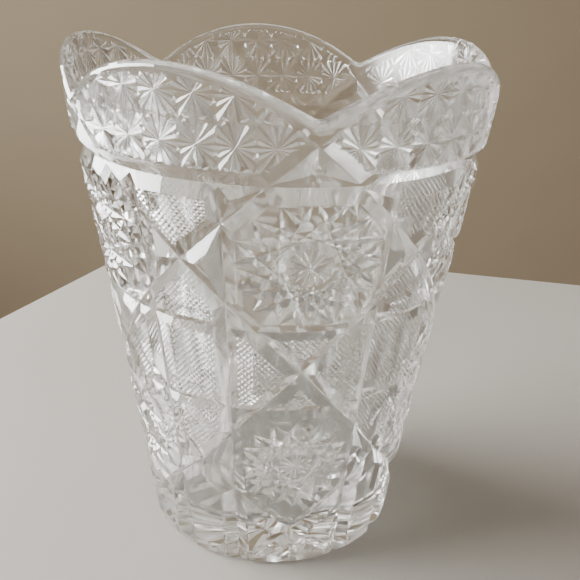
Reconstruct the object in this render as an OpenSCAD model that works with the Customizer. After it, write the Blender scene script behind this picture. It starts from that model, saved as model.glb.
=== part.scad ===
// Cut crystal vase: a tapered tumbler with a five-lobed rim, mitre cuts and a notched foot.
// Millimetres, +Z up. The origin is the centre of the underside, on the surface that it stands on.
// The front is -Y: one dip of the rim lies there, and the cut pattern repeats every 72 degrees.

/* [Body] */
// Height from the table to the tops of the rim's lobes
height = 205; // [195:1:210]
// Radius of the foot at the table
foot_r = 54; // [52:0.5:56]
// Height of the horizontal mitre that divides the wall from the rim
shoulder_z = 168; // [164:1:172]
// Outer radius of the wall just below the shoulder mitre
shoulder_r = 79; // [76:0.5:81]
// How far the tapered wall bows inwards at its middle
wall_bow = 0.5; // [0:0.05:1.5]

/* [Rim] */
// Outer radius of the rim at the tops of the lobes
rim_r = 84; // [82:0.5:86]
// Radius of the arc that each lobe follows, seen square on
lobe_arc_r = 75; // [68:1:90]

/* [Cavity] */
// Inner radius of the mouth
mouth_r = 78.5; // [77:0.5:79]
// Inner radius at the bottom of the hollow's straight wall
well_r = 50; // [47:0.5:51]
// Thickness of the solid base
base_t = 18; // [12:1:20]
// Radius of the curve between the cavity's floor and its wall
floor_fillet_r = 8; // [4:1:8]

/* [Cuts] */
// Depth of the large diagonal and vertical mitres
mitre_depth = 2.8; // [1.5:0.1:3]
// Half the width of a large mitre at the surface
mitre_half_w = 5; // [4:0.1:6]
// Depth of the two thin rings on the wall
ring_depth = 2; // [1:0.1:2.5]
// Half the width of a thin ring at the surface
ring_half_w = 3.5; // [2.5:0.1:4]
// Angle from the middle of a panel to its vertical mitres
vertical_angle = 23; // [21:0.5:25]
// Depth of the short notch at the foot in the middle of a panel
notch_depth = 1.6; // [0.8:0.1:2.4]
// Height of that notch
notch_h = 15; // [10:1:17]

/* [Hidden] */
$fn = 96;
panels = 5;
panel_angle = 360 / panels;
crystal = [0.86, 0.89, 0.9, 0.45];

// The hollow's straight wall begins above the curve at its floor.
well_z = base_t + floor_fillet_r;
// Shoulder mitre: its depth, and how far its two facets reach up and down the wall.
shoulder_depth = 2.9;
shoulder_up = 5;
shoulder_down = 5.5;
// The rim stands a little proud of the wall where the two would meet.
rim_step = 0.8;
rim_start_r = shoulder_r + rim_step;
shoulder_root_r = shoulder_r - shoulder_depth;
// Bevel round the edge of the underside.
foot_bevel = 1.5;
// Height of a diagonal at angles from its apex. It steepens and then flattens towards the foot.
diagonal_path = [[0, 181.5], [72, 96.5], [108, 50.5], [144, 18], [164, 0]];
// The thin rings, which divide the wall into its three zones.
low_ring_z = 80;
high_ring_z = 114.5;
wall_steps = 4;
cutter_reach = 4;
// A diagonal is cut as straight stretches that overlap at joints clear of the crossings.
facet_angle = 12;
diagonal_joints = concat([0], [for (i = [0 : 12]) facet_angle * (i + 0.5)], [161]);
joint_overlap = 0.5;
// A large mitre's edges lie at most this far above and below its root.
mitre_reach_z = 9;

// Outer radius of the uncut vase at height z.
function wall_r(z) = foot_r + (shoulder_r - foot_r) * z / shoulder_z
    - 4 * wall_bow * z * (shoulder_z - z) / pow(shoulder_z, 2);
function rim_r_at(z) = rim_start_r + (rim_r - rim_start_r) * (z - shoulder_z) / (height - shoulder_z);
function outer_r(z) = z < shoulder_z ? wall_r(z) : rim_r_at(z);
// Inner radius of the straight-sided hollow at height z.
function hollow_r(z) = well_r + (mouth_r - well_r) * (z - well_z) / (height - well_z);
function diagonal_z(angle) = lookup(angle, diagonal_path);
// The bottom of a large mitre at an angle round the vase and a height.
function mitre_root(angle, z) = [
    (outer_r(z) - mitre_depth) * sin(angle),
    -(outer_r(z) - mitre_depth) * cos(angle),
    z
];
function unit(v) = v / norm(v);
// Points down the outside of the wall from height top to bottom.
function wall_points(top, bottom) = [
    for (i = [0 : wall_steps]) let (z = top + (bottom - top) * i / wall_steps) [wall_r(z), z]
];

// A straight V cut from root point a to root point b, opening outwards.
module straight_mitre(a, b) {
    outwards = unit([a.x + b.x, a.y + b.y, 0]);
    z_axis = unit(b - a);
    x_axis = unit(cross(outwards, z_axis));
    y_axis = cross(z_axis, x_axis);
    reach = mitre_depth + cutter_reach;
    half_w = mitre_half_w * reach / mitre_depth;
    multmatrix([
        [x_axis.x, y_axis.x, z_axis.x, a.x],
        [x_axis.y, y_axis.y, z_axis.y, a.y],
        [x_axis.z, y_axis.z, z_axis.z, a.z]
    ])
    translate([0, 0, -joint_overlap])
    linear_extrude(norm(b - a) + 2 * joint_overlap)
    polygon([[0, 0], [half_w, reach], [-half_w, reach]]);
}

// Both families of diagonals, as the short straight cuts that reach heights z0 to z1.
module diagonals(z0, z1) {
    for (k = [0 : panels - 1], side = [-1, 1], i = [0 : len(diagonal_joints) - 2]) {
        from = diagonal_joints[i];
        to = diagonal_joints[i + 1];
        if (diagonal_z(to) < z1 + mitre_reach_z && diagonal_z(from) > z0 - mitre_reach_z)
            rotate([0, 0, k * panel_angle])
            straight_mitre(
                mitre_root(side * from, diagonal_z(from)),
                mitre_root(side * to, diagonal_z(to))
            );
    }
}

// A straight V cut down the wall at an angle round the vase, from height z0 to z1.
module upright_mitre(angle, z0, z1, depth, half_w) {
    low_r = outer_r(z0) - depth;
    lean = atan((outer_r(z1) - outer_r(z0)) / (z1 - z0));
    length = (z1 - z0) / cos(lean);
    reach = depth + cutter_reach;
    wide = half_w * reach / depth;
    rotate([0, 0, angle])
    translate([0, -low_r, z0])
    rotate([lean, 0, 0])
    linear_extrude(length)
    polygon([[0, 0], [-wide, -reach], [wide, -reach]]);
}

module verticals() {
    for (k = [0 : panels - 1], side = [-1, 1])
        upright_mitre(k * panel_angle + side * vertical_angle, -cutter_reach,
            shoulder_z - shoulder_down, mitre_depth, mitre_half_w);
}

module foot_notches() {
    for (k = [0 : panels - 1])
        upright_mitre(k * panel_angle, -cutter_reach, notch_h, notch_depth, 2 * notch_depth);
}

// The five lobes: round bars that lie along the radii, each covering one panel of the rim.
module lobes() {
    for (k = [0 : panels - 1])
        rotate([0, 0, (k + 0.5) * panel_angle])
        translate([0, 0, height - lobe_arc_r])
        rotate([90, 0, 0])
        cylinder(r = lobe_arc_r, h = 2 * rim_r, $fn = 192);
}

// A zone of the glass: its outline turned round the axis, with the mitres that reach it cut out.
module cut_zone(outline, z0, z1) {
    color(crystal)
    difference() {
        rotate_extrude()
        polygon(outline);
        verticals();
        foot_notches();
        diagonals(z0, z1);
    }
}

// The solid base and the bottoms of the notches between the petals.
module foot() {
    outline = concat(
        [[0, 0], [foot_r - foot_bevel, 0]],
        [[wall_r(foot_bevel), foot_bevel], [wall_r(base_t), base_t], [0, base_t]]
    );
    cut_zone(outline, 0, base_t);
}

// The zone of the lower medallions, with the curve at the cavity's floor.
module lower_wall() {
    outline = concat(
        [for (a = [-90 : 15 : 0]) [
            well_r - floor_fillet_r + floor_fillet_r * cos(a),
            well_z + floor_fillet_r * sin(a)
        ]],
        [[hollow_r(low_ring_z), low_ring_z], [wall_r(low_ring_z) - ring_depth, low_ring_z]],
        wall_points(low_ring_z - ring_half_w, base_t)
    );
    cut_zone(outline, base_t, low_ring_z);
}

// The hatched band between the two thin rings.
module middle_band() {
    outline = concat(
        [[hollow_r(low_ring_z), low_ring_z], [hollow_r(high_ring_z), high_ring_z]],
        [[wall_r(high_ring_z) - ring_depth, high_ring_z]],
        wall_points(high_ring_z - ring_half_w, low_ring_z + ring_half_w),
        [[wall_r(low_ring_z) - ring_depth, low_ring_z]]
    );
    cut_zone(outline, low_ring_z, high_ring_z);
}

// The zone of the upper medallions, up to the shoulder mitre.
module upper_wall() {
    outline = concat(
        [[hollow_r(high_ring_z), high_ring_z], [hollow_r(shoulder_z), shoulder_z]],
        [[shoulder_root_r, shoulder_z]],
        wall_points(shoulder_z - shoulder_down, high_ring_z + ring_half_w),
        [[wall_r(high_ring_z) - ring_depth, high_ring_z]]
    );
    cut_zone(outline, high_ring_z, shoulder_z);
}

module rim() {
    color(crystal)
    difference() {
        intersection() {
            rotate_extrude()
            polygon([
                [hollow_r(shoulder_z), shoulder_z],
                [shoulder_root_r, shoulder_z],
                [rim_r_at(shoulder_z + shoulder_up), shoulder_z + shoulder_up],
                [rim_r, height],
                [mouth_r, height]
            ]);
            lobes();
        }
        diagonals(shoulder_z, height);
    }
}

foot();
lower_wall();
middle_band();
upper_wall();
rim();
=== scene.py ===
"""Cut crystal vase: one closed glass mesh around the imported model, with its stage, lights and camera.

The glass is cut flat and then wrapped. Half of one 72 degree panel is laid out as a sheet in
millimetres, where x runs round the vase, y is the height above the uncut surface and z is up.
Each cut is a closed V-section cutter taken out of that sheet. The cut sheet is then wrapped to
the vase's radius, mirrored and repeated, and welded along its exact mirror lines.
"""

import math

import bmesh
import bpy
from mathutils import Matrix, Vector


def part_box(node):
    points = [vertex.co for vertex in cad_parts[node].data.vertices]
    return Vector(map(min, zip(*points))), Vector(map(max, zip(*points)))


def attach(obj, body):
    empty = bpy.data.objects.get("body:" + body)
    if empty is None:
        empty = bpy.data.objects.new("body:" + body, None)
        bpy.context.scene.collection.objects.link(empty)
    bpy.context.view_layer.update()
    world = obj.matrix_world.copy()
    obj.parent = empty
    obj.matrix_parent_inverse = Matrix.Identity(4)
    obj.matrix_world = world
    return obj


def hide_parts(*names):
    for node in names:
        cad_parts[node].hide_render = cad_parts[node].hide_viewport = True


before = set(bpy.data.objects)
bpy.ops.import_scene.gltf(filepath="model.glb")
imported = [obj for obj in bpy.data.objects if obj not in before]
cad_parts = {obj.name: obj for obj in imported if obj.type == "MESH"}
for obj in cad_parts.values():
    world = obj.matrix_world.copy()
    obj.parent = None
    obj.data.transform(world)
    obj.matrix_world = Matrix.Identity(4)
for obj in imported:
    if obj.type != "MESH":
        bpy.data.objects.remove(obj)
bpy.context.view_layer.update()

MM = 0.001

# Sizes of the blank, in millimetres, as in the CAD model.
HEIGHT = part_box("rim")[1].z / MM
SHOULDER_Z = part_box("upper_wall")[1].z / MM
BASE_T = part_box("foot")[1].z / MM
FOOT_R, FOOT_BEVEL = 54.0, 1.5
SHOULDER_R, WALL_BOW = 79.0, 0.5
RIM_R, RIM_STEP, LOBE_ARC_R = 84.0, 0.8, 75.0
MOUTH_R, WELL_R, FLOOR_FILLET_R = 78.5, 50.0, 8.0
WELL_Z = BASE_T + FLOOR_FILLET_R
LIP_R = 2.7
# How far the bottoms of the dips between the lobes are rounded, in degrees.
DIP_SOFTNESS = 1.2

# The layout of the cuts, in degrees round the vase from the middle of a panel, and millimetres.
PANELS = 5
PANEL = 360 / PANELS
HALF = PANEL / 2
UNROLL_R = 75.0
DIAGONAL_PATH = ((-12, 195.67), (0, 181.5), (72, 96.5), (108, 50.5), (144, 18.0), (164, 0.0))
# A cut's slope is its half width over its depth. A large mitre has a narrow flat at its bottom.
MITRE_DEPTH, MITRE_SLOPE, MITRE_FLAT = 2.8, 5 / 2.8, 0.25
# The polished edge of a large cut: how far it is eased beyond the cut, and the shallower V that does it.
EASED = 0.4
EDGE_DEPTH, EDGE_SLOPE = 1.45, 5.4 / 1.45
# How far the cutters of the large cuts and of their edges stand above the surface.
LARGE_LIFT, EDGE_LIFT = 4.0, 0.5
VERTICAL_ANGLE = 23.0
NOTCH_DEPTH, NOTCH_SLOPE, NOTCH_Z = 1.6, 2.0, 16.0
RING_ZS = (114.5, 80.0)
RING_DEPTH, RING_HALF_W, RING_EDGE_DEPTH = 2.0, 3.5, 1.05
SHOULDER_DEPTH, SHOULDER_UP, SHOULDER_DOWN, SHOULDER_EDGE_DEPTH = 2.9, 5.0, 5.5, 1.5

# Each hobstar's height, and how far its points reach round the vase and up it. A chord joins
# each tip to the one HOBSTAR_SKIP further round, which leaves the button in the middle.
HOBSTARS = ((140.4, 27.5, 24.3), (54.0, 23.0, 21.5))
HOBSTAR_TIPS, HOBSTAR_SKIP, BUTTON_R = 16, 6, 8.6
CHORD_SLOPE, BUTTON_SLOPE = 1.3, 1.2
BASE_RAYS = 20

# The rim's stars stand in rows. A ray is widest at RAY_WIDEST of its length. Where the next star's
# ray meets it, looked for at RAY_LOOK_ON of its length, it overlaps that one by RAY_OVERLAP.
STAR_ANGLE, STAR_ZS, STAR_PITCH, STAR_RAYS = 9.0, (181.0, 196.7, 212.4), 15.7, 16
RAY_WIDEST, RAY_LOOK_ON, RAY_OVERLAP, RAY_SLOPE = 0.9, 1.35, 0.3, 1.6

# Crosshatching: the pitch and depth of its lines, half the flat left between two lines, the
# length over which a line runs out, and the length of the shortest line.
HATCH_PITCH, HATCH_DEPTH, HATCH_FLAT, HATCH_RUN_OUT, HATCH_SHORTEST = 1.7, 0.66, 0.06, 0.6, 1.5

# The sheet is given edges every so many degrees and millimetres, where it bends.
BEND_ANGLE, BEND_HEIGHT = 3.0, 14.0
# Edges that turn by more than this many degrees are shown sharp.
SHARP_ANGLE = 11


def wall_radius(z):
    straight = FOOT_R + (SHOULDER_R - FOOT_R) * z / SHOULDER_Z
    return straight - 4 * WALL_BOW * z * (SHOULDER_Z - z) / SHOULDER_Z**2


def rim_radius(z):
    start = SHOULDER_R + RIM_STEP
    return start + (RIM_R - start) * (z - SHOULDER_Z) / (HEIGHT - SHOULDER_Z)


def radius(z):
    """Outer radius of the uncut vase, with the step at the shoulder smoothed over."""
    t = min(max((z - SHOULDER_Z + 3) / 6, 0), 1)
    t = t * t * (3 - 2 * t)
    return wall_radius(min(z, SHOULDER_Z + 3)) * (1 - t) + rim_radius(max(z, SHOULDER_Z - 3)) * t


def hollow_radius(z):
    return WELL_R + (MOUTH_R - WELL_R) * (z - WELL_Z) / (HEIGHT - WELL_Z)


def top_z(theta, r):
    """Height of the rim's lobes, which are cut square on, so that it depends on the radius too."""
    from_lobe = HALF - math.hypot(theta, DIP_SOFTNESS)
    across = r * math.sin(math.radians(from_lobe))
    return HEIGHT - LOBE_ARC_R + math.sqrt(LOBE_ARC_R**2 - across**2)


def flat_x(theta):
    return math.radians(theta) * UNROLL_R


# ---------------------------------------------------------------- the uncut half panel


def section(theta):
    """The outline of the glass at one angle, as (y, z) points from the axis below to the axis above."""
    points = [(-radius(0), 0.0)]
    points += [(r - radius(0), 0.0) for r in (15, 30, 43)]  # rings under the base
    points += [(-FOOT_BEVEL, 0.0), (0.0, FOOT_BEVEL)]
    top = top_z(theta, RIM_R)
    levels = 15
    low = FOOT_BEVEL
    high = top - LIP_R
    points += [(0.0, low + (high - low) * i / levels) for i in range(1, levels + 1)]
    arc = [math.radians(a) for a in (18, 36, 54, 72, 90)]
    for a in arc:
        y = -LIP_R + LIP_R * math.cos(a)
        points.append((y, top_z(theta, RIM_R + y) - LIP_R + LIP_R * math.sin(a)))
    inner = hollow_radius(high) - radius(high)
    for a in reversed([0.0] + arc):
        y = inner + LIP_R - LIP_R * math.cos(a)
        points.append((y, top_z(theta, RIM_R + y) - LIP_R + LIP_R * math.sin(a)))
    low = WELL_Z
    high = points[-1][1]
    for i in range(1, levels):
        z = high + (low - high) * i / levels
        points.append((hollow_radius(z) - radius(z), z))
    for a in range(0, 91, 15):
        r = WELL_R - FLOOR_FILLET_R + FLOOR_FILLET_R * math.cos(math.radians(a))
        z = WELL_Z - FLOOR_FILLET_R * math.sin(math.radians(a))
        points.append((r - radius(z), z))
    points += [(r - radius(BASE_T), BASE_T) for r in (28, 14, 0)]  # rings on the cavity's floor
    return points


def blank():
    """The uncut half panel as a closed solid, with more sections near the dip of the rim."""
    thetas = [0, 0.75, 1.5, 2.25, 3, 4.5, 6, 7.5, 9, 10.5, 12] + list(range(15, 37, 3))
    rows = [section(theta) for theta in thetas]
    count = len(rows[0])
    verts = [(flat_x(t), y, z) for t, row in zip(thetas, rows) for y, z in row]
    faces = [tuple(range(count)), tuple(reversed(range(len(verts) - count, len(verts))))]
    for i in range(len(thetas) - 1):
        for j in range(count):
            a, b = i * count + j, i * count + (j + 1) % count
            faces.append((a, a + count, b + count, b))
    return closed_object("blank", verts, faces)


def closed_object(name, verts, faces):
    """A scene object from points and faces, with its faces turned outwards."""
    mesh = bpy.data.meshes.new(name)
    mesh.from_pydata(verts, [], faces)
    bm = bmesh.new()
    bm.from_mesh(mesh)
    bmesh.ops.recalc_face_normals(bm, faces=bm.faces)
    bm.to_mesh(mesh)
    bm.free()
    obj = bpy.data.objects.new(name, mesh)
    bpy.context.scene.collection.objects.link(obj)
    return obj


# ---------------------------------------------------------------- cutters


def groove(points, depths, slope, lift, flat=0.0):
    """A V-section bar along (angle, z) points. Its depth changes and its slope doesn't.

    The bottom of the V is a strip of half width flat. A negative depth lies above the surface,
    so a cut runs out to nothing before it.
    """
    verts = []
    for i, (theta, z) in enumerate(points):
        before, after = points[max(i - 1, 0)], points[min(i + 1, len(points) - 1)]
        r = radius(z)
        along = Vector((math.radians(after[0] - before[0]) * r, after[1] - before[1])).normalized()
        half_w = slope * (depths[i] + lift)
        outline = [(half_w, lift), (-half_w, lift)]
        if flat:
            outline += [(-flat, flat / slope - depths[i]), (flat, flat / slope - depths[i])]
        else:
            outline.append((0, -depths[i]))
        for offset, y in outline:
            verts.append((flat_x(theta) - along.y * offset * UNROLL_R / r, y, z + along.x * offset))
    sides = len(outline)
    faces = [tuple(reversed(range(sides))), tuple(range(len(verts) - sides, len(verts)))]
    for i in range(0, len(verts) - sides, sides):
        for a in range(sides):
            b = (a + 1) % sides
            faces.append((i + a, i + b, i + b + sides, i + a + sides))
    return verts, faces


def ring(z, depth, up, down, lift=LARGE_LIFT):
    """A V that runs right round, as a straight bar across the half panel."""
    reach = (depth + lift) / depth
    outline = [(-depth, z), (lift, z + up * reach), (lift, z - down * reach)]
    ends = (flat_x(-5), flat_x(HALF + 5))
    verts = [(x, y, height) for x in ends for y, height in outline]
    faces = [(0, 1, 2), (3, 5, 4)] + [(a, (a + 1) % 3, (a + 1) % 3 + 3, a + 3) for a in range(3)]
    return verts, faces


def on_sheet(start, end, t):
    return start[0] + (end[0] - start[0]) * t, start[1] + (end[1] - start[1]) * t


def shaped_groove(start, end, profile, slope, lift=0.05):
    """A groove whose depth is given as (share of its length, depth)."""
    points = [on_sheet(start, end, t) for t, _ in profile]
    return groove(points, [depth for _, depth in profile], slope, lift)


def reaches_half_panel(verts):
    xs = [v[0] for v in verts]
    return max(xs) > 0 and min(xs) < flat_x(HALF)


class Batches:
    """Cutters gathered by a key, so that those under one key never overlap."""

    def __init__(self):
        self.groups = {}

    def add(self, key, shape):
        if shape is None or not reaches_half_panel(shape[0]):
            return
        verts, faces = self.groups.setdefault(key, ([], []))
        start = len(verts)
        verts.extend(shape[0])
        faces.extend(tuple(i + start for i in face) for face in shape[1])


def mirrored(theta):
    """An angle and its mirror images about the two mirror lines of the half panel."""
    return sorted({theta, -theta, PANEL - theta, theta - PANEL})


# ---------------------------------------------------------------- the large cuts


def diagonal_z(turned):
    """Height of a diagonal at an angle from its apex."""
    for (a0, z0), (a1, z1) in zip(DIAGONAL_PATH, DIAGONAL_PATH[1:]):
        if turned <= a1:
            break
    return z0 + (z1 - z0) * (turned - a0) / (a1 - a0)


def cut_rings(cuts):
    root = radius(SHOULDER_Z) - (SHOULDER_R - SHOULDER_DEPTH)
    cuts.add("rings", ring(SHOULDER_Z, root, SHOULDER_UP, SHOULDER_DOWN))
    up, down = SHOULDER_UP + EASED, SHOULDER_DOWN + EASED
    cuts.add("ring edges", ring(SHOULDER_Z, SHOULDER_EDGE_DEPTH, up, down, 1.0))
    for z in RING_ZS:
        cuts.add("rings", ring(z, RING_DEPTH, RING_HALF_W, RING_HALF_W))
        eased = RING_HALF_W + EASED
        cuts.add("ring edges", ring(z, RING_EDGE_DEPTH, eased, eased, 1.0))


def cut_diagonals(cuts):
    """Two families of mitres, each starting at the top of a panel and falling for two panels.

    shape holds each mitre's depths at angles from its apex.
    """
    shape = [(-4.2, -0.1), (-1.5, 1.6), (1, MITRE_DEPTH)]
    shape += [(a, MITRE_DEPTH) for a in range(12, 150, 12)] + [(151, 2.4), (157, 1.4), (163, -0.1)]
    for side in (-1, 1):
        for k in range(-3, 4):
            points = [(k * PANEL + side * a, diagonal_z(a)) for a, _ in shape]
            depths = [depth for _, depth in shape]
            cuts.add(("diagonal", side), groove(points, depths, MITRE_SLOPE, LARGE_LIFT, MITRE_FLAT))
            depths = [EDGE_DEPTH if depth == MITRE_DEPTH else depth / 2 - 0.1 for depth in depths]
            cuts.add(("diagonal edge", side), groove(points, depths, EDGE_SLOPE, EDGE_LIFT))


def cut_verticals(cuts):
    for theta in mirrored(VERTICAL_ANGLE):
        points = [(theta, z) for z in (-6, 40, 80, 120, SHOULDER_Z - 1)]
        depths = [MITRE_DEPTH] * len(points)
        cuts.add("vertical", groove(points, depths, MITRE_SLOPE, LARGE_LIFT, MITRE_FLAT))
        depths = [EDGE_DEPTH] * len(points)
        cuts.add("vertical edge", groove(points, depths, EDGE_SLOPE, EDGE_LIFT))
    points = [(0.0, -6.0), (0.0, 9.0), (0.0, NOTCH_Z)]
    cuts.add("notch", groove(points, [NOTCH_DEPTH, NOTCH_DEPTH, -0.1], NOTCH_SLOPE, LARGE_LIFT))


# ---------------------------------------------------------------- hobstars


def polar(centre_z, angle, across, up):
    """The (angle, z) of a point on an ellipse round the middle of a panel."""
    a = math.radians(angle)
    return math.degrees(across * math.cos(a) / radius(centre_z)), centre_z + up * math.sin(a)


def cut_hobstars(cuts):
    """Sixteen chords round a raised button, and a fine star of eight lines on the button."""
    chord = [(0, -0.05), (0.12, 0.95), (0.3, 1.6), (0.5, 1.8), (0.7, 1.6), (0.88, 0.95), (1, -0.05)]
    ray = [(0, -0.05), (0.12, 0.3), (0.3, 0.42), (0.5, 0.1), (0.7, 0.42), (0.88, 0.3), (1, -0.05)]
    for z, across, up in HOBSTARS:
        for i in range(HOBSTAR_TIPS):
            start = polar(z, i * 360 / HOBSTAR_TIPS, across, up)
            end = polar(z, (i + HOBSTAR_SKIP) * 360 / HOBSTAR_TIPS, across, up)
            cuts.add(("chord", i), shaped_groove(start, end, chord, CHORD_SLOPE))
        for i in range(HOBSTAR_TIPS // 2):
            start = polar(z, i * 360 / HOBSTAR_TIPS, BUTTON_R, BUTTON_R)
            end = polar(z, (i + HOBSTAR_TIPS // 2) * 360 / HOBSTAR_TIPS, BUTTON_R, BUTTON_R)
            cuts.add(("button", i), shaped_groove(start, end, ray, BUTTON_SLOPE))


def cut_base_star(cuts):
    """A star under the base. Each ray is a wedge, as its sides run towards the axis.

    stations holds the ray's depths at distances from the axis. Three rays reach the half panel.
    """
    lift = 0.03
    half_w = flat_x(360 / BASE_RAYS) * 0.46
    stations = ((4.0, 0.12), (40.0, 1.5), (46.0, -0.02))
    for i in range(3):
        x = flat_x(i * 360 / BASE_RAYS)
        verts = []
        for r, depth in stations:
            y = r - radius(0)
            wide = half_w * (depth + lift) / max(depth, 0.1)
            verts += [(x, y, depth), (x - wide, y, -lift), (x + wide, y, -lift)]
        faces = [(0, 1, 2), (6, 8, 7)]
        for k in (0, 3):
            faces += [(k + a, k + (a + 1) % 3, k + (a + 1) % 3 + 3, k + a + 3) for a in range(3)]
        cuts.add(("base", i % 2), (verts, faces))


# ---------------------------------------------------------------- the stars of the rim


def in_star_field(theta, z):
    """Whether a point is on the rim between the shoulder, the diagonals and the lip."""
    lip = top_z(min(abs(theta), abs(PANEL - theta)), RIM_R) - LIP_R - 0.6
    return max(SHOULDER_Z + 3.5, diagonal_z(abs(theta))) < z < lip


def star_ray(centre, direction, reach, widening, runs_on):
    """One ray of a star: a V that widens from the star's centre.

    It runs on into the next star's ray, or else it tapers to a point. It is left out if less
    than a fifth of it lies in the field.
    """
    steps, run_in = 40, 0.5

    def place(s):
        across = math.degrees(direction[0] * s / radius(centre[1]))
        return centre[0] + across, centre[1] + direction[1] * s

    def depth_at(s):
        return widening * s / RAY_SLOPE

    held = [s for s in (reach * i / steps for i in range(steps + 1)) if in_star_field(*place(s))]
    if len(held) < steps / 5:
        return None
    first, last = held[0], held[-1]
    widest = first + RAY_WIDEST * (last - first)
    if runs_on and in_star_field(*place(RAY_LOOK_ON * reach)):
        stations = [(last + RAY_OVERLAP, depth_at(last + RAY_OVERLAP))]
    else:
        stations = [(widest, depth_at(widest)), (last, 0.08 if last == reach else -0.03)]
    if first > 0:
        stations.insert(0, (first + run_in, depth_at(first + run_in)))
    stations.insert(0, (first, -0.03 if first > 0 else 0.02))
    return groove([place(s) for s, _ in stations], [depth for _, depth in stations], RAY_SLOPE, 0.05)


def cut_stars(cuts):
    """Rows of stars that fill the rim. Each ray just touches the rays beside it."""
    widening = math.sin(math.pi / STAR_RAYS)
    for z in STAR_ZS:
        half_across, half_up = math.radians(STAR_ANGLE) * radius(z) / 2, STAR_PITCH / 2
        for column in range(5):
            for i in range(STAR_RAYS):
                a = 2 * math.pi * i / STAR_RAYS
                direction = (math.cos(a), math.sin(a))
                to_side = half_across / max(abs(direction[0]), 0.01)
                to_top = half_up / max(abs(direction[1]), 0.01)
                reach = min(to_side, to_top)
                ray = star_ray((column * STAR_ANGLE, z), direction, reach, widening, i % 2 == 0)
                cuts.add(("ray", i), ray)


# ---------------------------------------------------------------- crosshatching


def clip_line(origin, direction, polygon):
    """The stretch of a line inside a convex polygon, as two distances along it, or None."""
    low, high = -1e9, 1e9
    area = sum(a[0] * b[1] - b[0] * a[1] for a, b in zip(polygon, polygon[1:] + polygon[:1]))
    turn = 1 if area > 0 else -1
    for a, b in zip(polygon, polygon[1:] + polygon[:1]):
        inward = (-(b[1] - a[1]) * turn, (b[0] - a[0]) * turn)
        gap = (origin[0] - a[0]) * inward[0] + (origin[1] - a[1]) * inward[1]
        rate = direction[0] * inward[0] + direction[1] * inward[1]
        if abs(rate) < 1e-9:
            if gap < 0:
                return None
        elif rate > 0:
            low = max(low, -gap / rate)
        else:
            high = min(high, -gap / rate)
    return (low, high) if high - low > HATCH_SHORTEST else None


def crosshatch(cuts, centre, corners, pitch=HATCH_PITCH, depth=HATCH_DEPTH):
    """Two families of fine V lines over a convex field given by (angle, z) corners.

    Each line has a point at every crossing, so that the facets between crossings stay simple.
    """
    r = radius(centre[1])
    polygon = [(math.radians(t - centre[0]) * r, z - centre[1]) for t, z in corners]
    slope = (pitch / 2 - HATCH_FLAT) / depth
    counts = range(-40, 41)  # more lines each way than any field holds
    clear = 0.2
    for family, angle in enumerate((45, 135)):
        a = math.radians(angle)
        direction, normal = (math.cos(a), math.sin(a)), (-math.sin(a), math.cos(a))
        for i in counts:
            origin = (normal[0] * pitch * i, normal[1] * pitch * i)
            held = clip_line(origin, direction, polygon)
            if not held:
                continue
            low, high = held[0] + HATCH_RUN_OUT, held[1] - HATCH_RUN_OUT
            crossings = [pitch * k for k in counts if low + clear < pitch * k < high - clear]
            places = [held[0], low] + crossings + [high, held[1]]
            depths = [-0.02] + [depth] * (len(places) - 2) + [-0.02]
            points = []
            for t in places:
                s = origin[0] + direction[0] * t
                points.append((centre[0] + math.degrees(s / r), centre[1] + origin[1] + direction[1] * t))
            cuts.add(("hatch", family), groove(points, depths, slope, 0.04))


def cut_fields(cuts):
    """The crosshatched fields, each a convex patch that runs under the mitres round it."""
    past, v = 5.0, VERTICAL_ANGLE  # past is how far a field runs beyond the half panel, in degrees
    high_ring, low_ring = RING_ZS
    wall_top = SHOULDER_Z - SHOULDER_DOWN + 0.5
    # The small triangle between the apex and the shoulder.
    crosshatch(cuts, (0, 176), [(0, diagonal_z(0)), (-6.5, 174.6), (6.5, 174.6)], 1.5, 0.55)
    # The side column: above and below its upper crossing, the band, and above its lower crossing.
    fields = ((HALF, wall_top, -1), (HALF, high_ring, 1), (HALF + PANEL, low_ring, -1))
    for crossing_at, flat, side in fields:
        edge = diagonal_z(crossing_at + side * (HALF - v))
        beyond = diagonal_z(crossing_at + side * past)
        crossing = diagonal_z(crossing_at)
        corners = [(HALF, crossing), (v, edge), (v, flat), (HALF + past, flat), (HALF + past, beyond)]
        crosshatch(cuts, (HALF, (crossing + flat) / 2), corners)
    middle = (high_ring + low_ring) / 2
    corners = [(v, low_ring), (HALF + past, low_ring), (HALF + past, high_ring), (v, high_ring)]
    crosshatch(cuts, (HALF, middle), corners)
    # Round the crossing in the middle of the band: above it, below it and beside it.
    crossing = diagonal_z(PANEL)
    above = (high_ring - crossing) / (diagonal_z(60) - crossing) * 12
    below = (crossing - low_ring) / (crossing - diagonal_z(84)) * 12
    crosshatch(cuts, (0, 104), [(0, crossing), (above, high_ring), (-above, high_ring)])
    crosshatch(cuts, (0, 88), [(0, crossing), (-below, low_ring), (below, low_ring)])
    corners = [(0, crossing), (above, high_ring), (v, high_ring), (v, low_ring), (below, low_ring)]
    crosshatch(cuts, (v - 9, crossing), corners)


# ---------------------------------------------------------------- cutting, wrapping and repeating


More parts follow.
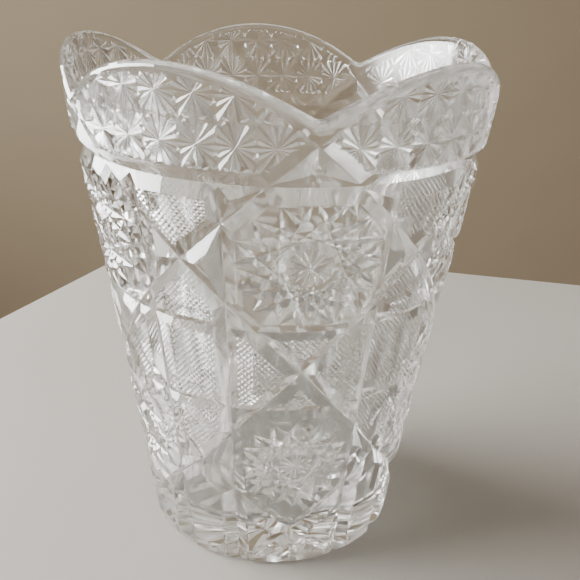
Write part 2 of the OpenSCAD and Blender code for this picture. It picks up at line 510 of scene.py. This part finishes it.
def cut_sheet():
    """The half panel with every cut taken out of it, as a mesh."""
    cuts = Batches()
    cut_rings(cuts)
    cut_diagonals(cuts)
    cut_verticals(cuts)
    cut_hobstars(cuts)
    cut_base_star(cuts)
    cut_stars(cuts)
    cut_fields(cuts)
    sheet = blank()
    cutters = []
    for key, (verts, faces) in cuts.groups.items():
        cutter = closed_object("cutter", verts, faces)
        modifier = sheet.modifiers.new("cut", "BOOLEAN")
        modifier.operation, modifier.solver, modifier.object = "DIFFERENCE", "MANIFOLD", cutter
        cutters.append(cutter)
    depsgraph = bpy.context.evaluated_depsgraph_get()
    mesh = bpy.data.meshes.new_from_object(sheet.evaluated_get(depsgraph))
    for obj in cutters + [sheet]:
        data = obj.data
        bpy.data.objects.remove(obj)
        bpy.data.meshes.remove(data)
    return mesh


def open_and_divide(bm):
    """Removes the two mirror faces and the strip on the axis, and adds edges where the sheet will bend."""
    near = 2e-3
    bmesh.ops.dissolve_degenerate(bm, edges=bm.edges, dist=near)
    walls = []
    for mirror_x in (0.0, flat_x(HALF)):
        on_mirror = {v for v in bm.verts if abs(v.co.x - mirror_x) < near}
        for v in on_mirror:
            v.co.x = mirror_x
        walls += [f for f in bm.faces if all(v in on_mirror for v in f.verts)]
    walls += [f for f in bm.faces if all(radius(v.co.z) + v.co.y < 1 for v in f.verts)]
    bmesh.ops.delete(bm, geom=walls, context="FACES")
    for i in range(1, 12):
        split(bm, (flat_x(BEND_ANGLE * i), 0, 0), (1, 0, 0))
    for i in range(1, 14):
        split(bm, (0, 0, BEND_HEIGHT * i), (0, 0, 1))
    bmesh.ops.triangulate(bm, faces=bm.faces, quad_method="BEAUTY", ngon_method="BEAUTY")
    bmesh.ops.dissolve_degenerate(bm, edges=bm.edges, dist=1e-3)
    bmesh.ops.triangulate(bm, faces=bm.faces, quad_method="BEAUTY", ngon_method="BEAUTY")


def split(bm, place, normal):
    """Adds edges where a plane crosses the faces."""
    geometry = bm.verts[:] + bm.edges[:] + bm.faces[:]
    bmesh.ops.bisect_plane(bm, geom=geometry, dist=1e-4, plane_co=place, plane_no=normal)


def wrap(co):
    """A point of the flat sheet, in millimetres, bent round the vase, in metres."""
    theta, r = co.x / UNROLL_R, radius(co.z) + co.y
    return Vector((r * math.sin(theta), -r * math.cos(theta), co.z)) * MM


def build_glass():
    """The vase as one closed mesh: ten copies of the half panel, mirrored and turned."""
    sheet = cut_sheet()
    bm = bmesh.new()
    bm.from_mesh(sheet)
    bpy.data.meshes.remove(sheet)
    open_and_divide(bm)
    for v in bm.verts:
        v.co = wrap(v.co)
    bmesh.ops.reverse_faces(bm, faces=bm.faces)
    half = bm.faces[:] + bm.edges[:] + bm.verts[:]
    twin = bmesh.ops.duplicate(bm, geom=half)["geom"]
    twin_verts = [g for g in twin if isinstance(g, bmesh.types.BMVert)]
    for v in twin_verts:
        v.co.x = -v.co.x
    bmesh.ops.reverse_faces(bm, faces=[g for g in twin if isinstance(g, bmesh.types.BMFace)])
    panel = bm.faces[:] + bm.edges[:] + bm.verts[:]
    for k in range(1, PANELS):
        copy = bmesh.ops.duplicate(bm, geom=panel)["geom"]
        verts = [g for g in copy if isinstance(g, bmesh.types.BMVert)]
        turn = Matrix.Rotation(math.radians(PANEL * k), 4, "Z")
        bmesh.ops.transform(bm, matrix=turn, verts=verts)
    seams = [v for v in bm.verts if v.is_boundary]
    bmesh.ops.remove_doubles(bm, verts=seams, dist=2e-6)
    mesh = bpy.data.meshes.new("cut_glass_vase")
    bm.to_mesh(mesh)
    loose = [e for e in bm.edges if len(e.link_faces) != 2]
    print("glass:", len(bm.verts), "points,", len(bm.faces), "faces,", len(loose), "open edges")
    bm.free()
    obj = bpy.data.objects.new("cut_glass_vase", mesh)
    bpy.context.scene.collection.objects.link(obj)
    mesh.shade_smooth()
    mesh.set_sharp_from_angle(angle=math.radians(SHARP_ANGLE))
    give_finishes(mesh)
    return obj


def give_finishes(mesh):
    """Polished glass outside, and slightly hazy glass inside, most of all in the rim."""
    mesh.materials.append(crystal_material("crystal", 0.006, 0.02, 90))
    mesh.materials.append(crystal_material("crystal_inside", 0.07, 0.11, 30))
    mesh.materials.append(crystal_material("crystal_inside_rim", 0.16, 0.22, 30))
    margin = 0.1
    for face in mesh.polygons:
        r, z = math.hypot(face.center.x, face.center.y) / MM, face.center.z / MM
        if z > BASE_T - margin and r < hollow_radius(max(z, WELL_Z)) + margin:
            face.material_index = 2 if z > SHOULDER_Z else 1


# ---------------------------------------------------------------- materials


def new_material(name):
    material = bpy.data.materials.new(name)
    material.use_nodes = True
    return material, material.node_tree, material.node_tree.nodes["Principled BSDF"]


def crystal_material(name, smooth, hazy, marks_scale):
    """Clear lead crystal, with faint waves and a finish that varies between two roughnesses."""
    material, tree, shader = new_material(name)
    shader.inputs["Base Color"].default_value = (0.955, 0.955, 0.947, 1)
    shader.inputs["Transmission Weight"].default_value = 1.0
    shader.inputs["IOR"].default_value = 1.545
    coords = tree.nodes.new("ShaderNodeTexCoord")
    waves = tree.nodes.new("ShaderNodeTexNoise")
    waves.inputs["Scale"].default_value = 60
    waves.inputs["Detail"].default_value = 3
    bump = tree.nodes.new("ShaderNodeBump")
    bump.inputs["Strength"].default_value = 0.08
    bump.inputs["Distance"].default_value = 0.0004
    marks = tree.nodes.new("ShaderNodeTexNoise")
    marks.inputs["Scale"].default_value = marks_scale
    marks.inputs["Detail"].default_value = 4
    finish = tree.nodes.new("ShaderNodeMapRange")
    finish.inputs["From Min"].default_value, finish.inputs["From Max"].default_value = 0.35, 0.65
    finish.inputs["To Min"].default_value, finish.inputs["To Max"].default_value = smooth, hazy
    tree.links.new(coords.outputs["Object"], waves.inputs["Vector"])
    tree.links.new(waves.outputs["Fac"], bump.inputs["Height"])
    tree.links.new(bump.outputs["Normal"], shader.inputs["Normal"])
    tree.links.new(coords.outputs["Object"], marks.inputs["Vector"])
    tree.links.new(marks.outputs["Fac"], finish.inputs["Value"])
    tree.links.new(finish.outputs["Result"], shader.inputs["Roughness"])
    return material


def matt_material(name, colour, roughness):
    """A matt surface whose colour varies slightly in soft patches."""
    material, tree, shader = new_material(name)
    shader.inputs["Roughness"].default_value = roughness
    coords = tree.nodes.new("ShaderNodeTexCoord")
    noise = tree.nodes.new("ShaderNodeTexNoise")
    noise.inputs["Scale"].default_value = 9
    noise.inputs["Detail"].default_value = 6
    ramp = tree.nodes.new("ShaderNodeValToRGB")
    ramp.color_ramp.elements[0].color = tuple(c * 0.94 for c in colour) + (1,)
    ramp.color_ramp.elements[1].color = tuple(c * 1.04 for c in colour) + (1,)
    tree.links.new(coords.outputs["Object"], noise.inputs["Vector"])
    tree.links.new(noise.outputs["Fac"], ramp.inputs["Fac"])
    tree.links.new(ramp.outputs["Color"], shader.inputs["Base Color"])
    return material


# ---------------------------------------------------------------- stage, light and camera


def plane(name, corners, material):
    mesh = bpy.data.meshes.new(name)
    mesh.from_pydata(corners, [], [(0, 1, 2, 3)])
    obj = bpy.data.objects.new(name, mesh)
    obj.data.materials.append(material)
    bpy.context.scene.collection.objects.link(obj)
    return obj


def build_stage():
    """A pale table top, whose far corner lies behind the vase, in front of a warm backdrop."""
    floor = matt_material("pale_floor", (0.28, 0.26, 0.23), 0.6)
    wall = matt_material("warm_backdrop", (0.33, 0.265, 0.18), 0.9)
    z = -0.0004
    plane("floor", [(-0.06, 0.358, z), (-1.11, -1.24, z), (0.9, -2.0, z), (1.81, -0.34, z)], floor)
    plane("backdrop", [(-2.5, 1.2, -1.0), (2.5, 1.2, -1.0), (2.5, 1.2, 1.2), (-2.5, 1.2, 1.2)], wall)


def area_light(name, place, target, size, watts, colour, spread=180):
    """A rectangular lamp of a size in metres that faces a target, with its spread in degrees."""
    light = bpy.data.lights.new(name, "AREA")
    light.shape, light.size, light.size_y = "RECTANGLE", size[0], size[1]
    light.energy, light.color = watts, colour
    light.spread = math.radians(spread)
    obj = bpy.data.objects.new(name, light)
    obj.location = place
    obj.rotation_mode = "QUATERNION"
    obj.rotation_quaternion = (Vector(target) - Vector(place)).to_track_quat("-Z", "Y")
    bpy.context.scene.collection.objects.link(obj)


def build_lights():
    world = bpy.data.worlds.new("soft_room")
    world.use_nodes = True
    background = world.node_tree.nodes["Background"]
    background.inputs["Color"].default_value = (0.40, 0.31, 0.215, 1)
    background.inputs["Strength"].default_value = 0.55
    bpy.context.scene.world = world
    target = (0, 0, 0.1)
    area_light("window", (-1.3, 0.35, 0.5), target, (1.5, 0.9), 74, (0.97, 0.99, 1.0), spread=110)
    area_light("top", (0.1, 0.0, 1.5), target, (1.4, 1.2), 9, (1.0, 0.97, 0.92))


def build_camera():
    """The photograph's camera: where it stands round the vase, its height, aim and roll."""
    azimuth, distance, height = math.radians(8.54), 0.31695, 0.23405
    pitch, yaw, roll = math.radians(22.638), math.radians(1.062), math.radians(1.906)
    data = bpy.data.cameras.new("camera")
    data.sensor_width = 36.0
    data.lens = 49.42
    data.clip_start = 0.01
    camera = bpy.data.objects.new("camera", data)
    bpy.context.scene.collection.objects.link(camera)
    forward = Vector((math.sin(yaw) * math.cos(pitch), math.cos(yaw) * math.cos(pitch), -math.sin(pitch)))
    right = Vector((math.cos(yaw), -math.sin(yaw), 0))
    up = right.cross(forward)
    side = right * math.cos(roll) + up * math.sin(roll)
    head = up * math.cos(roll) - right * math.sin(roll)
    turn = Matrix.Rotation(-azimuth, 3, "Z")
    axes = Matrix((turn @ side, turn @ head, turn @ -forward)).transposed()
    camera.matrix_world = Matrix.Translation(turn @ Vector((0, -distance, height))) @ axes.to_4x4()
    bpy.context.scene.camera = camera


def allow_deep_paths():
    """Light crosses dozens of facets inside cut glass, and each path that ends early is a black fleck."""
    bounces = 40
    cycles = bpy.context.scene.cycles
    cycles.max_bounces = cycles.glossy_bounces = cycles.transmission_bounces = bounces


build_camera()
build_lights()
allow_deep_paths()
build_stage()
glass = build_glass()
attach(glass, "root")
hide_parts("foot", "lower_wall", "middle_band", "upper_wall", "rim")
